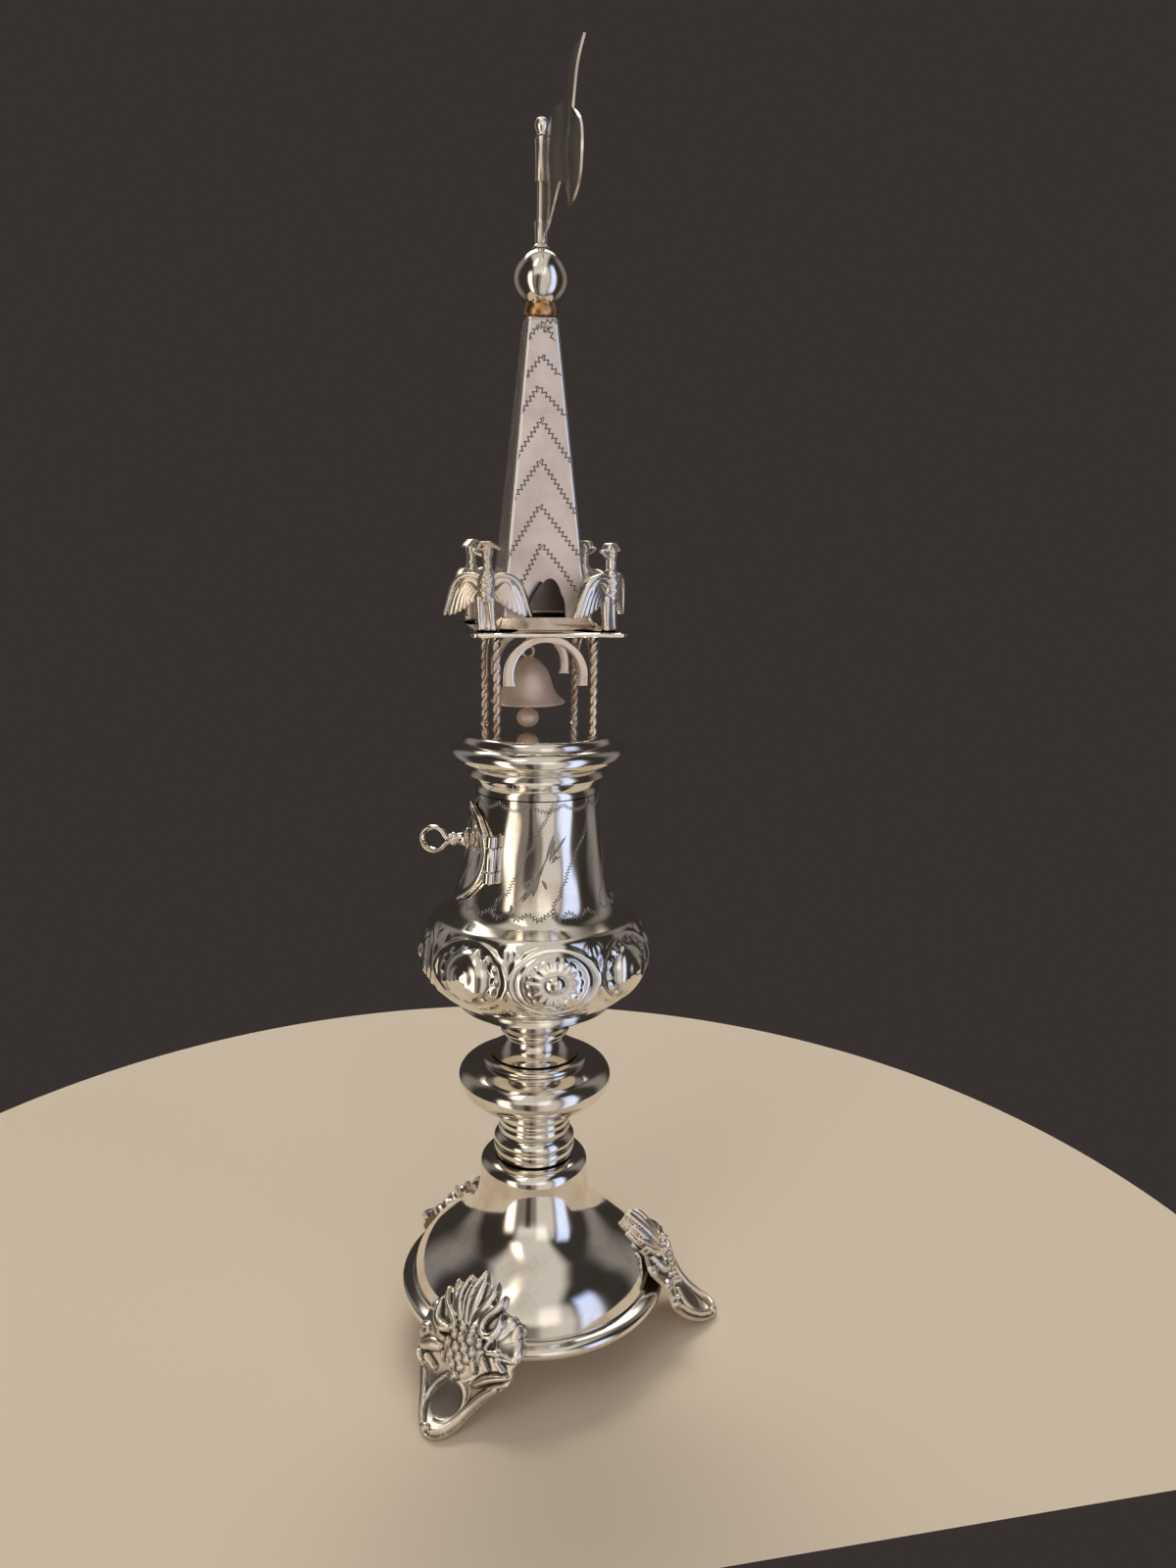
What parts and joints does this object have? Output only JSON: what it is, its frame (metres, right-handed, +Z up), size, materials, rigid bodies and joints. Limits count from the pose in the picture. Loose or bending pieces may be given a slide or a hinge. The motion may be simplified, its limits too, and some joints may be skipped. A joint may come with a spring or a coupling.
{
  "type": "spice tower",
  "caption": "Tall silver ceremonial spice tower on leaf feet: belly-shaped spice box with a hinged side door, open bell stage with birds, pointed spire and a turning flag.",
  "frame": {"origin": "middle of the whole footprint on the table; the tower's own centre line stands 6.8 mm towards -X and 1.1 mm towards -Y of it", "axes": "+Z up the tower, -Y the front, where the spire's gate is and the flag points, -X the side with the box's door"},
  "size_m": [0.0773, 0.0851, 0.2702],
  "materials": {
    "polished_silver": "polished silver, spun and hand engraved, lightly toned in the grooves",
    "cast_silver": "cast silver, polished on the high points and darkened in the hollows",
    "satin_silver": "satin silver sheet with engraved lines",
    "bell_metal": "dull, warm-toned silver, unpolished",
    "brass": "brassy solder collar, softly polished"
  },
  "bodies": {
    "tower": {"base": "polished_silver", "foot_front_left": "cast_silver", "foot_right": "cast_silver", "foot_back_left": "cast_silver", "stem_lower": "polished_silver", "knop": "polished_silver", "stem_upper": "polished_silver", "spice_box": "polished_silver", "hinge_knuckle_bottom": "polished_silver", "hinge_knuckle_top": "polished_silver", "hinge_pin": "polished_silver", "collar": "polished_silver", "post_front_left": "polished_silver", "post_front_right": "polished_silver", "post_back_right": "polished_silver", "post_back_left": "polished_silver", "arch_front": "polished_silver", "arch_right": "polished_silver", "arch_back": "polished_silver", "arch_left": "polished_silver", "plate": "polished_silver", "bell": "bell_metal", "clapper": "bell_metal", "bell_hook": "polished_silver", "spire_skirt": "satin_silver", "spire": "satin_silver", "ball_collar": "brass", "ball": "polished_silver", "rod": "polished_silver", "rod_knob": "polished_silver", "bird_front_left": "cast_silver", "bird_front_right": "cast_silver", "bird_back_right": "cast_silver", "bird_back_left": "cast_silver"},
    "door": {"door": "polished_silver", "door_handle": "polished_silver"},
    "flag": {"flag": "polished_silver"}
  },
  "joints": [
    {"name": "door_hinge", "type": "hinge", "parent": "tower", "child": "door", "pos_m": [-0.01867, -0.01257, 0.1209], "axis": [0.0863, 0.0833, 0.9928], "range_deg": [0, 120]},
    {"name": "flag_turn", "type": "hinge", "parent": "tower", "child": "flag", "pos_m": [-0.0068, -0.00111, 0.256], "axis": [0, 0, 1], "continuous": true}
  ]
}
